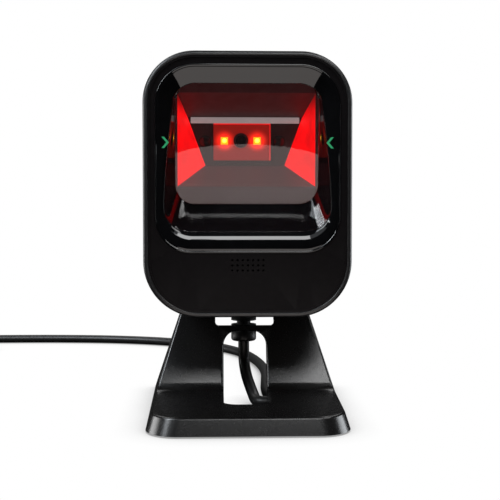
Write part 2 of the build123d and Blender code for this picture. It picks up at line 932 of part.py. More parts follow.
def slot_bevels():
    """The sloping rim of the slot, on the plate and on the panel."""
    over = 0.4
    cuts = []
    plate = Plane(origin=(0, bend_y, plate_bend_z), x_dir=(1, 0, 0),
                  z_dir=(0, -sin(plate_slope), cos(plate_slope)))
    panel = Plane(origin=(0, bend_y, plate_bend_z), x_dir=(1, 0, 0),
                  z_dir=(0, -cos(panel_lean), sin(panel_lean)))
    reach = (slot_top_z - plate_bend_z) / cos(panel_lean)
    run = bend_setback - slot_front_setback
    for plane, near, far, end in ((plate, -run, 2.0, 0), (panel, -2.0, reach, 1)):
        rims = []
        for rise, grow in ((over, slot_bevel + over), (-slot_bevel, 0.0)):
            low = near - (grow if end == 0 else 0)
            high = far + (0.3 * grow if end == 1 else 0)
            half = slot_width / 2 + grow
            face = Pos(0, (low + high) / 2) * Rectangle(2 * half, high - low)
            rounded = face.vertices().group_by(Axis.Y)[0 if end == 0 else -1]
            face = fillet(rounded, slot_radius + 0.5 * grow)
            rims.append((plane.offset(rise) * face).face())
        cuts.append(loft(rims, ruled=True))
    return cuts


def make_stand_shell():
    outer = stand_solid()
    hollow = side_profile(hollow_side_points(), 2 * stand_width)
    hollow &= stand_cross(stand_wall)
    hollow &= plan_form(stand_wall, foot_height - 1)
    shell = outer - hollow
    collar_top = plate_front_z + plate_rise / 2
    shell += slot_cut(slot_collar_wall) & outer & block(
        (-30, 30), (base_front_y, bend_y + 2.4), (foot_height, collar_top - 1)
    )
    shell += rear_pads()
    shell -= slot_cut(0)
    shell -= slot_bevels()
    shell -= panel_notch()
    return shell + knuckles()


def panel_notch():
    """The gap at the top of the panel that the strain relief swings through."""
    height = stand_top_z + 6 - notch_bottom_z
    face = Pos(0, notch_bottom_z + height / 2) * Rectangle(notch_width, height)
    face = fillet(face.vertices().group_by(Axis.Y)[0], notch_radius)
    return extrude(front_plane(bend_y, 0) * face, -40)


def rear_pads():
    """Flat pads inside the foot of each side wall, which the rear feet are stuck to."""
    pads = []
    front = base_front_y + rear_pad_front_setback
    for side in (-1, 1):
        outer = side_reach(foot_height) - 1.0
        inner = outer - rear_pad_width
        limits = (inner, outer) if side > 0 else (-outer, -inner)
        pads.append(block(limits, (front, base_rear_y), (foot_height, foot_height + rear_pad_height)))
    return pads


def knuckles():
    """Two hinge knuckles that rise from the panel's top edge into the head."""
    both = []
    for side in (-1, 1):
        x = side * hinge_offset
        eye = rod((x, hinge_y, hinge_z), knuckle_radius, knuckle_width, "X")
        neck = side_profile(
            [
                (panel_front_y(stand_top_z - 4) + 0.2, stand_top_z - 4),
                (panel_top_y + 0.2, stand_top_z),
                (hinge_y - knuckle_radius + 0.3, hinge_z - 1),
                (hinge_y + knuckle_radius - 0.3, hinge_z - 1),
                (panel_top_y + panel_top_length + 1.0, stand_top_z),
                (panel_top_y + panel_top_length + 0.6, stand_top_z - 4),
            ],
            knuckle_width,
        )
        both.append(eye + Pos(x, 0, 0) * neck)
    pair = both[0] + both[1]
    for side in (-1, 1):
        pair -= rod((side * hinge_offset, hinge_y, hinge_z), pin_radius, 20, "X")
    return pair


# Ballast, cover, feet

def base_plate(margin, low, high, rear_setback):
    """A plate inside the base, cut round the cable slot."""
    front = base_front_y + stand_wall + 1.0 + margin
    rear = base_front_y + rear_setback
    half = side_reach(foot_height) + side_flare(front) - stand_wall - 1.2 - margin
    face = Pos(0, (front + rear) / 2) * Rectangle(2 * half, rear - front)
    corner = base_corner_radius - stand_wall - margin
    face = fillet(face.vertices().group_by(Axis.Y)[0], corner)
    plate = extrude(Plane.XY.offset(low) * face, high - low)
    return plate - slot_cut(slot_collar_wall + 0.15)


def make_bottom_cover():
    plate = base_plate(0.2, foot_height, foot_height + cover_thickness, cover_rear_setback)
    for x, y in front_foot_places():
        plate -= foot_block(x, y, foot_length, foot_width, 0.05, foot_height + foot_recess)
    for x, y in cover_screw_places():
        plate -= rod((x, y, foot_height), screw_radius + 0.1, 6)
    return plate


def make_ballast():
    low = foot_height + cover_thickness + 0.05
    plate = base_plate(ballast_margin, low, low + ballast_thickness, cover_rear_setback - 4)
    for x, y in cover_screw_places():
        plate -= rod((x, y, low), screw_radius + 0.1, 6)
    return plate


def front_foot_places():
    return [(x, base_front_y + 9.5) for x in (-20.0, 20.0)]


def rear_foot_places():
    middle = side_reach(foot_height) - 1.0 - rear_pad_width / 2
    return [(x, base_rear_y - 3 - rear_foot_length / 2) for x in (-middle, middle)]


def cover_screw_places():
    return [(x, base_front_y + 43.0) for x in (-28.0, 28.0)]


def foot_block(x, y, length, width, grow, top):
    half_length = length / 2 + grow
    half_width = width / 2 + grow
    return block((x - half_length, x + half_length), (y - half_width, y + half_width), (0, top))


def make_front_foot(x, y):
    foot = foot_block(x, y, foot_length, foot_width, 0, foot_height + foot_recess)
    return fillet(foot.edges().filter_by(Axis.Z), 2.4)


def make_rear_foot(x, y):
    foot = foot_block(x, y, rear_foot_width, rear_foot_length, 0, foot_height)
    return fillet(foot.edges().filter_by(Axis.Z), 2.0)


def make_cover_screw(x, y):
    low = foot_height + 0.1
    head = rod((x, y, low + 0.4), screw_radius, 0.8)
    shank = rod((x, y, low + cover_screw_length / 2), screw_radius, cover_screw_length)
    return head + shank


# Cord

def route_points(route):
    return [Vector(x, base_front_y + depth, z) for x, depth, z in route]


def corner_radii(points):
    """0.45 of the shorter run beside each corner, over the tangent of half its turn."""
    radii = []
    for before, here, after in zip(points, points[1:], points[2:]):
        turn = (here - before).get_angle(after - here)
        shorter = min((here - before).length, (after - here).length)
        radii.append(0.45 * shorter / tan(radians(turn / 2)))
    return radii


def cable_tube(name, points, radii):
    """A round tube along straight runs joined by arcs, with its radii and volume printed."""
    path = FilletPolyline(*points, radius=radii)
    start = Plane(origin=path @ 0, z_dir=path % 0)
    tube = sweep(start * Circle(cable_radius), path=path)
    ratio = tube.volume / (pi * cable_radius**2 * path.length)
    print(name, "length", round(path.length, 1), "volume over section times length", round(ratio, 4))
    print("  radii", [round(radius, 1) for radius in radii])
    return tube


def coil_centre():
    return (coil_centre_x, base_front_y + coil_centre_setback)


def coil_ring():
    x, y = coil_centre()
    outer = coil_mid_radius + coil_half_width
    inner = coil_mid_radius - coil_half_width
    ring = Pos(x, y, coil_height / 2) * (Cylinder(outer, coil_height) - Cylinder(inner, coil_height))
    return fillet(ring.edges(), coil_edge_fillet)


def tie_band():
    """A strap round the bundle at the coil's right-hand side."""
    x, y = coil_centre()
    low = x + coil_mid_radius - coil_half_width
    high = x + coil_mid_radius + coil_half_width
    limits = (y - tie_width / 2, y + tie_width / 2)
    outer = block((low - 1.2, high + tie_thickness), limits, (0, coil_height + tie_thickness))
    inner = block((low - 0.4, high), limits, (tie_thickness, coil_height))
    return outer - inner


def make_cables():
    """The hanging stretch, the stretch on the table, the coil, its tie and the tail."""
    drop = route_points(drop_route)
    run = route_points(run_route)
    joint = (drop[-1] + run[0]) * 0.5
    radii = corner_radii(drop + run)
    drop_corners = len(drop) - 1
    ring = coil_ring()
    tie = tie_band()
    x, y = coil_centre()
    tail_x = x - coil_mid_radius - coil_half_width + cable_radius
    tail = rod((tail_x, y - tail_length / 2, cable_z), cable_radius, tail_length, "Y")
    return {
        "cable_drop": cable_tube("cable_drop", drop + [joint], radii[:drop_corners]),
        "cable_run": cable_tube("cable_run", [joint] + run, radii[drop_corners:]) - ring,
        "cable_coil": ring - tie,
        "cable_tie": tie,
        "cable_tail": tail - ring,
    }


def plug_start():
    x, y = coil_centre()
    return (x - coil_mid_radius - coil_half_width + cable_radius, y - tail_length)


def make_plug_body():
    """The moulded grip with a tapered sleeve where the cable enters."""
    x, y = plug_start()
    z = plug_body_height / 2
    sleeve_plane = Plane(origin=(x, y, cable_z), z_dir=(0, -1, 0))
    small = sleeve_plane * Circle(cable_radius + cable_lift)
    grip_plane = Plane(origin=(x, y - plug_boot_length, z), z_dir=(0, -1, 0))
    large = grip_plane * Circle(plug_body_height / 2 - 0.3)
    sleeve = loft([small.face(), large.face()])
    grip = block(
        (x - plug_body_width / 2, x + plug_body_width / 2),
        (y - plug_boot_length - plug_body_length, y - plug_boot_length),
        (0, plug_body_height),
    )
    return sleeve + fillet(grip.edges(), 1.2)


def make_plug_shell():
    x, y = plug_start()
    front = y - plug_boot_length - plug_body_length
    z = plug_body_height / 2
    half = plug_shell_width / 2
    high = plug_shell_height / 2
    wall = plug_shell_wall
    shell = block((x - half, x + half), (front - plug_shell_length, front), (z - high, z + high))
    shell -= block(
        (x - half + wall, x + half - wall),
        (front - plug_shell_length - 1, front - 1),
        (z - high + wall, z + high - wall),
    )
    for side in (-1, 1):
        middle = x + side * 2.6
        shell -= block((middle - 1.1, middle + 1.1), (front - 8, front - 5.8), (z, z + high + 1))
    return shell


def make_plug_tongue():
    x, y = plug_start()
    front = y - plug_boot_length - plug_body_length
    z = plug_body_height / 2
    half = plug_shell_width / 2 - plug_shell_wall - 0.1
    low = z - plug_shell_height / 2 + plug_shell_wall + 0.02
    depth = (front - plug_shell_length + 0.6, front - 1.02)
    return block((x - half, x + half), depth, (low, low + plug_tongue_height))


def build_nodes():
    """Every piece by its node name."""
    nodes = {
        "rear_housing": make_rear_housing(),
        "front_bezel": make_front_bezel(),
        "window_surround": make_window_surround(),
        "window_gasket": make_window_gasket(),
        "scan_window": make_scan_window(),
        "optical_hood": make_optical_hood(),
        "reflector_left": make_reflector(-1),
        "reflector_right": make_reflector(1),
        "back_panel": make_back_panel(),
        "light_bar": make_light_bar(),
        "chamber": make_chamber(),
        "led_board": make_led_board(),
        "led_left": make_led(-1),
        "led_right": make_led(1),
        "imager_barrel": make_imager_barrel(),
        "imager_lens": make_imager_lens(),
        "main_board": make_main_board(),
        "decode_chip": make_decode_chip(),
        "cable_jack": make_cable_jack(),
        "speaker": make_speaker(),
        "grille_cloth": make_grille_cloth(),
        "strain_relief": make_strain_relief(),
        "stand_shell": make_stand_shell(),
        "bottom_cover": make_bottom_cover(),
        "ballast_plate": make_ballast(),
        "plug_body": make_plug_body(),
        "plug_shell": make_plug_shell(),
        "plug_tongue": make_plug_tongue(),
    }
    for name, side in (("left", -1), ("right", 1)):
        nodes["chevron_" + name] = chevron_prism(side, 0, chevron_thickness)
        nodes["aimer_" + name] = make_aimer(aimer_places()[0 if side < 0 else 1])
        nodes["hinge_bracket_" + name] = make_hinge_bracket(side)
        nodes["hinge_pin_" + name] = make_hinge_pin(side)
        nodes["washer_" + name + "_inner"] = make_washer(side, -side)
        nodes["washer_" + name + "_outer"] = make_washer(side, side)
    for index, post in enumerate(make_board_spacers(), 1):
        nodes["board_spacer_" + str(index)] = post
    for index, (x, z) in enumerate(housing_screw_places(), 1):
        nodes["housing_screw_" + str(index)] = make_housing_screw(x, z)
    for name, (x, y) in zip(("left", "right"), front_foot_places()):
        nodes["front_foot_" + name] = make_front_foot(x, y)
    for name, (x, y) in zip(("left", "right"), rear_foot_places()):
        nodes["rear_foot_" + name] = make_rear_foot(x, y)
    for name, (x, y) in zip(("left", "right"), cover_screw_places()):
        nodes["cover_screw_" + name] = make_cover_screw(x, y)
    nodes.update(make_cables())
    return nodes


os.makedirs("parts", exist_ok=True)
for node_name, piece in build_nodes().items():
    export_step(piece, os.path.join("parts", node_name + ".step"))
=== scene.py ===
import json
import math

import bmesh
import bpy
import numpy as np
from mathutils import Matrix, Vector


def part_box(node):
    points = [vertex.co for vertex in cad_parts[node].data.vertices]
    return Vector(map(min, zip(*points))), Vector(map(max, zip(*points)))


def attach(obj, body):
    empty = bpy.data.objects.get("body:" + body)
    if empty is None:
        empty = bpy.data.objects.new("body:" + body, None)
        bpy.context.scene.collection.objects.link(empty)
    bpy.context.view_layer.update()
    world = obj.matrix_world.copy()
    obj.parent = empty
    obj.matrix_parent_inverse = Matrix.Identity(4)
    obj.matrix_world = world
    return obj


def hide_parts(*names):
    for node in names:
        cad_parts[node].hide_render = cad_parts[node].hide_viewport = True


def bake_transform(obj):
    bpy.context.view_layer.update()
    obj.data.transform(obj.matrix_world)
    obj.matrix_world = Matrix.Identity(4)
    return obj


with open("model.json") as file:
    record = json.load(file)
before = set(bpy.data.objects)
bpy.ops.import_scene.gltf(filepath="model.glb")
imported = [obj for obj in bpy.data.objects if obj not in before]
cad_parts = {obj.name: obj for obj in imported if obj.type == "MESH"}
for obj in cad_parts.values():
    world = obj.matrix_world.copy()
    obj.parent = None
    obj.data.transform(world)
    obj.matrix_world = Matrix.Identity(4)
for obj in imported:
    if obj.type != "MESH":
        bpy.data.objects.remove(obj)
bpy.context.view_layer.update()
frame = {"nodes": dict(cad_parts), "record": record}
nodes = frame["nodes"]
bodies = frame["record"]["behaviour"]["bodies"]
body_of_node = {node: body for body, members in bodies.items() for node in members}
slot_of_node = {part["node"]: part["material_slot"] for part in frame["record"]["subparts"]}

MM = 0.001
WHITE = (1.0, 1.0, 1.0)

# Places taken from the frame
head_low, head_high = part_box("rear_housing")
stand_low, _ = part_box("stand_shell")
surround_low, surround_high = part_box("window_surround")
panel_low, panel_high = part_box("back_panel")
LAMP_NODES = sorted(node for node in nodes if node.startswith("led_") and node != "led_board")
CABLE_NODES = ("cable_drop", "cable_run", "cable_coil", "cable_tail")

# Angles above which an edge stays sharp, degrees
SHARP = 35.0
SHARP_OF_NODE = {"front_bezel": 6.0, "scan_window": 20.0, "rear_housing": 25.0}
SHARP_OF_NEW = 60.0


# ---------------------------------------------------------------- mesh helpers

MERGE_DISTANCE = 2e-6       # points nearer than this are one, m
LEAST_EDGE = 1e-7           # edges shorter than this are dropped, m


def link(mesh, name):
    """A new object at the origin for a mesh."""
    piece = bpy.data.objects.new(name, mesh)
    bpy.context.scene.collection.objects.link(piece)
    return piece


def grid_piece(name, grid):
    """A surface through a grid of points (rows, columns, 3), each cell one four-sided face.

    The last column joins the first, so each row is a closed ring.
    """
    rows, columns, _ = grid.shape
    index = np.arange(rows * columns).reshape(rows, columns)
    index = np.hstack([index, index[:, :1]])
    corners = [index[:-1, :-1], index[:-1, 1:], index[1:, 1:], index[1:, :-1]]
    faces = np.stack(corners, axis=-1).reshape(-1, 4)
    mesh = bpy.data.meshes.new(name)
    mesh.from_pydata(grid.reshape(-1, 3).tolist(), [], faces.tolist())
    mesh.update()
    return link(mesh, name)


def flat_piece(name, corners):
    """One flat face through its corners, given in millimetres."""
    mesh = bpy.data.meshes.new(name)
    mesh.from_pydata([(x * MM, y * MM, z * MM) for x, y, z in corners], [], [tuple(range(len(corners)))])
    return link(mesh, name)


def finish_mesh(piece, sharp_degrees, outwards=True):
    """Merges doubles, points the faces outwards and shades smooth but for sharp edges."""
    work = bmesh.new()
    work.from_mesh(piece.data)
    bmesh.ops.remove_doubles(work, verts=work.verts, dist=MERGE_DISTANCE)
    bmesh.ops.dissolve_degenerate(work, dist=LEAST_EDGE, edges=work.edges)
    if outwards:
        bmesh.ops.recalc_face_normals(work, faces=work.faces)
    work.to_mesh(piece.data)
    work.free()
    piece.data.shade_smooth()
    piece.data.set_sharp_from_angle(angle=math.radians(sharp_degrees))
    return piece


def dress(piece, material, body, node):
    """Gives a piece its material, the body it rides on and the node it stands for."""
    piece.data.materials.clear()
    piece.data.materials.append(material)
    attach(piece, body)
    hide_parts(node)
    return piece


def smooth_copy(node, material):
    """A merged, smooth-shaded copy of a construction mesh, which it replaces."""
    piece = link(nodes[node].data.copy(), node + "_finish")
    piece.data.name = node + "_finish"
    finish_mesh(piece, SHARP_OF_NODE.get(node, SHARP), outwards=False)
    even = piece.modifiers.new("even_shading", "WEIGHTED_NORMAL")
    even.weight = 100
    even.keep_sharp = True
    return dress(piece, material, body_of_node[node], node)


def rounded_outline(width, height, top_radius, bottom_radius, arc_steps=14, side_steps=10):
    """Points anticlockwise round a rectangle with round corners, as (x, z) about its middle.

    Each corner is an arc about its own centre; each side is divided evenly between two arcs.
    """
    half_width = width / 2
    half_height = height / 2
    centres = [
        (half_width - top_radius, half_height - top_radius, top_radius, 0.0),
        (-half_width + top_radius, half_height - top_radius, top_radius, 90.0),
        (-half_width + bottom_radius, -half_height + bottom_radius, bottom_radius, 180.0),
        (half_width - bottom_radius, -half_height + bottom_radius, bottom_radius, 270.0),
    ]
    arcs = []
    for x, z, radius, start in centres:
        angle = np.radians(np.linspace(start, start + 90.0, arc_steps + 1))
        arcs.append(np.stack([x + radius * np.cos(angle), z + radius * np.sin(angle)], axis=1))
    stretches = []
    for number, arc in enumerate(arcs):
        after = arcs[(number + 1) % 4][0]
        share = np.linspace(0.0, 1.0, side_steps + 1)[1:-1, None]
        stretches += [arc, arc[-1] * (1 - share) + after * share]
    return np.concatenate(stretches)


def smooth_step(value, low, high):
    """A share that eases from 0 at low to 1 at high, as 3 s squared less 2 s cubed."""
    share = np.clip((value - low) / (high - low), 0.0, 1.0)
    return share * share * (3 - 2 * share)


def cut_corners(grid, times):
    """Cuts the corners along a grid's rows and leaves the first and last rows in place.

    Each time, every two neighbours give way to the points one and three quarters between them.
    """
    for _ in range(times):
        near = grid[:-1] * 0.75 + grid[1:] * 0.25
        far = grid[:-1] * 0.25 + grid[1:] * 0.75
        inner = np.stack([near, far], axis=1).reshape(-1, *grid.shape[1:])
        grid = np.concatenate([grid[:1], inner, grid[-1:]])
    return grid


# ---------------------------------------------------------------- shader groups

COARSE_SHARE = 0.25         # how much of the grain's height is the coarse noise's


def new_group(name, inputs, outputs):
    """An empty shader node group whose sockets are numbers, and its two ends."""
    group = bpy.data.node_groups.new(name, "ShaderNodeTree")
    for label, value in inputs.items():
        socket = group.interface.new_socket(label, in_out="INPUT", socket_type="NodeSocketFloat")
        socket.default_value = value
    for label in outputs:
        group.interface.new_socket(label, in_out="OUTPUT", socket_type="NodeSocketFloat")
    return group, group.nodes.new("NodeGroupInput"), group.nodes.new("NodeGroupOutput")


def add_node(tree, kind, **settings):
    """A node in a tree, with its properties and the defaults of its inputs set by name."""
    node = tree.nodes.new("ShaderNode" + kind)
    for label, value in settings.items():
        if hasattr(node, label):
            setattr(node, label, value)
        else:
            node.inputs[label.replace("_", " ")].default_value = value
    return node


def limits(node, **bounds):
    """Sets a Map Range node's bounds by name."""
    for label, value in bounds.items():
        node.inputs[label.replace("_", " ").title()].default_value = value


def make_grain_group():
    """Moulded grain: two sizes of noise on object coordinates give a height and a shade."""
    inputs = {"Scale": 2600.0, "Coarse Scale": 240.0, "Shade Amount": 0.3}
    group, source, sink = new_group("moulded_grain", inputs, ["Height", "Shade"])
    coordinates = add_node(group, "TexCoord")
    fine = add_node(group, "TexNoise", Detail=2.0, Roughness=0.6)
    coarse = add_node(group, "TexNoise", Detail=3.0, Roughness=0.55)
    blend = add_node(group, "Mix", data_type="FLOAT")
    blend.inputs[0].default_value = COARSE_SHARE
    spread = add_node(group, "MapRange")
    limits(spread, from_min=0.3, from_max=0.7, to_min=1.0)
    wires = group.links
    wires.new(coordinates.outputs["Object"], fine.inputs["Vector"])
    wires.new(coordinates.outputs["Object"], coarse.inputs["Vector"])
    wires.new(source.outputs["Scale"], fine.inputs["Scale"])
    wires.new(source.outputs["Coarse Scale"], coarse.inputs["Scale"])
    wires.new(fine.outputs[0], blend.inputs[2])
    wires.new(coarse.outputs[0], blend.inputs[3])
    wires.new(blend.outputs[0], sink.inputs["Height"])
    top = add_node(group, "Math", operation="SUBTRACT")
    top.inputs[0].default_value = 1.0
    wires.new(source.outputs["Shade Amount"], top.inputs[1])
    wires.new(coarse.outputs[0], spread.inputs["Value"])
    wires.new(top.outputs[0], spread.inputs["To Max"])
    wires.new(spread.outputs[0], sink.inputs["Shade"])
    return group


def make_dust_group():
    """Dust: sparse specks where a fine noise peaks, more of them on faces that look up."""
    group, source, sink = new_group("settled_dust", {"Scale": 900.0, "Amount": 0.1}, ["Mask"])
    coordinates = add_node(group, "TexCoord")
    specks = add_node(group, "TexNoise", Detail=1.0)
    peaks = add_node(group, "MapRange")
    limits(peaks, from_min=0.66, from_max=0.78)
    shape = add_node(group, "NewGeometry")
    parts = add_node(group, "SeparateXYZ")
    upward = add_node(group, "MapRange")
    limits(upward, to_min=0.25)
    product = add_node(group, "Math", operation="MULTIPLY")
    scaled = add_node(group, "Math", operation="MULTIPLY")
    wires = group.links
    wires.new(coordinates.outputs["Object"], specks.inputs["Vector"])
    wires.new(source.outputs["Scale"], specks.inputs["Scale"])
    wires.new(specks.outputs[0], peaks.inputs["Value"])
    wires.new(shape.outputs["Normal"], parts.inputs[0])
    wires.new(parts.outputs["Z"], upward.inputs["Value"])
    wires.new(peaks.outputs[0], product.inputs[0])
    wires.new(upward.outputs[0], product.inputs[1])
    wires.new(product.outputs[0], scaled.inputs[0])
    wires.new(source.outputs["Amount"], scaled.inputs[1])
    wires.new(scaled.outputs[0], sink.inputs["Mask"])
    return group


grain_group = make_grain_group()
dust_group = make_dust_group()


# ---------------------------------------------------------------- materials

DUST_COLOUR = (0.32, 0.31, 0.3)
COARSER = 11                # times the coarse grain is larger than the fine one
CLEAR_INDEX = 1.5           # refraction of the clear pane
LAMP_REACH = 1.5            # from a light source's middle to where it is dim, mm
BOARD_REACH = 6.5           # from a light source to where the painted light on its board fades, mm
RED_EASE = 5 * MM           # the side panels' painted glow fades this far below and above the back panel's top


def blank_material(name):
    """A material with one Principled shader, its node tree and that shader."""
    material = bpy.data.materials.new(name)
    material.use_nodes = True
    tree = material.node_tree
    return material, tree, tree.nodes["Principled BSDF"]


def bare_material(name):
    """A material with no nodes, and its node tree."""
    material = bpy.data.materials.new(name)
    material.use_nodes = True
    material.node_tree.nodes.clear()
    return material, material.node_tree


def place_group(tree, group, **settings):
    """A group in a material, with its values."""
    node = tree.nodes.new("ShaderNodeGroup")
    node.node_tree = group
    for label, value in settings.items():
        node.inputs[label.replace("_", " ")].default_value = value
    return node


def plastic(name, colour, roughness, grain=2600.0, depth=0.03, spread=0.06, dust=0.03, shine=0.5):
    """Moulded plastic: its colour and roughness vary with the grain, with a little dust.

    The grain's scale is per metre, its depth in millimetres; spread is how far the roughness varies.
    """
    material, tree, shader = blank_material(name)
    wires = tree.links
    grains = place_group(tree, grain_group, Scale=grain, Coarse_Scale=grain / COARSER, Shade_Amount=0.35)
    specks = place_group(tree, dust_group, Amount=dust)
    tone = add_node(tree, "MixRGB", blend_type="MULTIPLY", Fac=1.0)
    tone.inputs[1].default_value = (*colour, 1.0)
    dusty = add_node(tree, "MixRGB", blend_type="MIX")
    dusty.inputs[2].default_value = (*DUST_COLOUR, 1.0)
    rough = add_node(tree, "MapRange")
    limits(rough, to_min=roughness - spread, to_max=roughness + spread)
    bump = add_node(tree, "Bump", Strength=0.5, Distance=depth * MM)
    wires.new(grains.outputs["Shade"], tone.inputs[2])
    wires.new(tone.outputs[0], dusty.inputs[1])
    wires.new(specks.outputs["Mask"], dusty.inputs[0])
    wires.new(dusty.outputs[0], shader.inputs["Base Color"])
    wires.new(grains.outputs["Height"], rough.inputs["Value"])
    wires.new(rough.outputs[0], shader.inputs["Roughness"])
    wires.new(grains.outputs["Height"], bump.inputs["Height"])
    wires.new(bump.outputs[0], shader.inputs["Normal"])
    shader.inputs["Specular IOR Level"].default_value = shine
    return material


def painted_red_glow(name, colour, strength, low_z, high_z, low_share, high_share):
    """Plastic with a dark red base and a painted red glow standing in for the LEDs' light: the painted glow
    runs from one share at low_z to another at high_z.
    """
    material, tree, shader = blank_material(name)
    wires = tree.links
    coordinates = add_node(tree, "TexCoord")
    parts = add_node(tree, "SeparateXYZ")
    # painted light and shade: the glow changes from one share to the other between the two heights, with a
    # random mottle
    run = add_node(tree, "MapRange", interpolation_type="SMOOTHSTEP")
    limits(run, from_min=low_z, from_max=high_z, to_min=low_share, to_max=high_share)
    cloud = add_node(tree, "TexNoise", Scale=140.0, Detail=2.0)
    mottle = add_node(tree, "MapRange")
    limits(mottle, from_min=0.3, from_max=0.7, to_min=0.75, to_max=1.1)
    amount = add_node(tree, "Math", operation="MULTIPLY")
    glow = add_node(tree, "MixRGB", blend_type="MULTIPLY", Fac=1.0)
    glow.inputs[1].default_value = (*colour, 1.0)
    wires.new(coordinates.outputs["Object"], parts.inputs[0])
    wires.new(coordinates.outputs["Object"], cloud.inputs["Vector"])
    wires.new(parts.outputs["Z"], run.inputs["Value"])
    wires.new(cloud.outputs[0], mottle.inputs["Value"])
    wires.new(run.outputs[0], amount.inputs[0])
    wires.new(mottle.outputs[0], amount.inputs[1])
    wires.new(amount.outputs[0], glow.inputs[2])
    wires.new(glow.outputs[0], shader.inputs["Emission Color"])
    shader.inputs["Emission Strength"].default_value = strength
    shader.inputs["Base Color"].default_value = (0.08, 0.004, 0.004, 1.0)
    shader.inputs["Roughness"].default_value = 0.5
    shader.inputs["Specular IOR Level"].default_value = 0.1
    return material


def glowing_plastic(name, colour, roughness, glow, strength):
    """Smooth plastic with a glow. On the hood, panel and bar the glow is painted light standing in for the
    light thrown round inside the head; on the chevrons it is their own indicator light.
    """
    material = plastic(name, colour, roughness, depth=0.0, dust=0.0)
    shader = material.node_tree.nodes["Principled BSDF"]
    shader.inputs["Emission Color"].default_value = (*glow, 1.0)
    shader.inputs["Emission Strength"].default_value = strength
    return material


def lamp_glow(name, boxes, reach, strength, colour, ambient):
    """A glow round two lamps, bright at each and falling off over a reach in millimetres: on the lamps it
    is their own light, on the board a painted pool of their light over a painted glow.
    """
    material, tree, shader = blank_material(name)
    wires = tree.links
    coordinates = add_node(tree, "TexCoord")
    total = None
    for low, high in boxes:
        middle = [(low.x + high.x) / 2, low.y, (low.z + high.z) / 2]
        away = add_node(tree, "VectorMath", operation="DISTANCE")
        away.inputs[1].default_value = middle
        fall = add_node(tree, "MapRange", interpolation_type="SMOOTHERSTEP")
        limits(fall, from_max=reach * MM, to_min=1.0, to_max=0.0)
        wires.new(coordinates.outputs["Object"], away.inputs[0])
        wires.new(away.outputs["Value"], fall.inputs["Value"])
        if total is None:
            total = fall.outputs[0]
        else:
            both = add_node(tree, "Math", operation="ADD")
            wires.new(total, both.inputs[0])
            wires.new(fall.outputs[0], both.inputs[1])
            total = both.outputs[0]
    scaled = add_node(tree, "Math", operation="MULTIPLY_ADD")
    scaled.inputs[1].default_value = strength
    scaled.inputs[2].default_value = ambient
    wires.new(total, scaled.inputs[0])
    wires.new(scaled.outputs[0], shader.inputs["Emission Strength"])
    shader.inputs["Emission Color"].default_value = (*colour, 1.0)
    shader.inputs["Base Color"].default_value = (0.02, 0.002, 0.002, 1.0)
    shader.inputs["Roughness"].default_value = 0.5
    return material


def clear_glass(name, tint):
    """Clear glass with a faint tint."""
    material, _, shader = blank_material(name)
    shader.inputs["Base Color"].default_value = (*tint, 1.0)
    shader.inputs["Transmission Weight"].default_value = 1.0
    shader.inputs["IOR"].default_value = CLEAR_INDEX
    shader.inputs["Roughness"].default_value = 0.0
    return material


def metal(name, colour, roughness):
    """Plated steel: its shade and roughness vary with the grain."""
    material, tree, shader = blank_material(name)
    wires = tree.links
    grains = place_group(tree, grain_group, Scale=1800.0, Coarse_Scale=300.0, Shade_Amount=0.15)
    tone = add_node(tree, "MixRGB", blend_type="MULTIPLY", Fac=1.0)
    tone.inputs[1].default_value = (*colour, 1.0)
    rough = add_node(tree, "MapRange")
    limits(rough, to_min=roughness - 0.08, to_max=roughness + 0.08)
    wires.new(grains.outputs["Shade"], tone.inputs[2])
    wires.new(tone.outputs[0], shader.inputs["Base Color"])
    wires.new(grains.outputs["Height"], rough.inputs["Value"])
    wires.new(rough.outputs[0], shader.inputs["Roughness"])
    shader.inputs["Metallic"].default_value = 1.0
    return material


housing_plastic = plastic("housing_plastic", (0.006, 0.006, 0.0065), 0.38)
bezel_plastic = plastic("bezel_plastic", (0.0045, 0.0036, 0.004), 0.3, grain=3200.0, depth=0.01, shine=0.14)
gloss_black = plastic("gloss_black", (0.003, 0.003, 0.0035), 0.045, depth=0.0, spread=0.01, dust=0.006)
pane_glass = clear_glass("pane_glass", (0.96, 0.93, 0.93))
seal_rubber = plastic("seal_rubber", (0.01, 0.01, 0.01), 0.6)
# Painted light: the hood and the back panel glow faintly red for the LEDs' light on them
hood_plastic_painted_glow = glowing_plastic("hood_plastic_painted_glow", (0.05, 0.045, 0.045), 0.6, (1.0, 0.03, 0.04), 0.016)
panel_plastic_painted_glow = glowing_plastic("panel_plastic_painted_glow", (0.012, 0.005, 0.006), 0.5, (1.0, 0.05, 0.05), 0.006)
# Painted highlight: the bar glows pale to stand for the light line along it
bar_plastic_painted_highlight = glowing_plastic("bar_plastic_painted_highlight", (0.2, 0.18, 0.18), 0.5, (1.0, 0.86, 0.86), 0.26)
stand_plastic = plastic("stand_plastic", (0.0048, 0.0045, 0.0045), 0.26, grain=2200.0, depth=0.02)
cover_plastic = plastic("cover_plastic", (0.02, 0.02, 0.02), 0.5)
boot_rubber = plastic("boot_rubber", (0.01, 0.01, 0.01), 0.45, grain=1500.0)
cable_jacket = plastic("cable_jacket", (0.012, 0.012, 0.012), 0.4, grain=1500.0, depth=0.02)
plug_rubber = plastic("plug_rubber", (0.015, 0.015, 0.015), 0.5)
tongue_plastic = plastic("tongue_plastic", (0.8, 0.79, 0.76), 0.4, dust=0.0)
board_green = plastic("board_green", (0.02, 0.12, 0.05), 0.35)
chip_black = plastic("chip_black", (0.015, 0.015, 0.015), 0.4)
jack_white = plastic("jack_white", (0.7, 0.67, 0.6), 0.4)
cloth_black = plastic("cloth_black", (0.01, 0.01, 0.01), 0.8, grain=3000.0, depth=0.1)
washer_nylon = plastic("washer_nylon", (0.7, 0.7, 0.67), 0.4)
foot_rubber = plastic("foot_rubber", (0.03, 0.03, 0.03), 0.7)
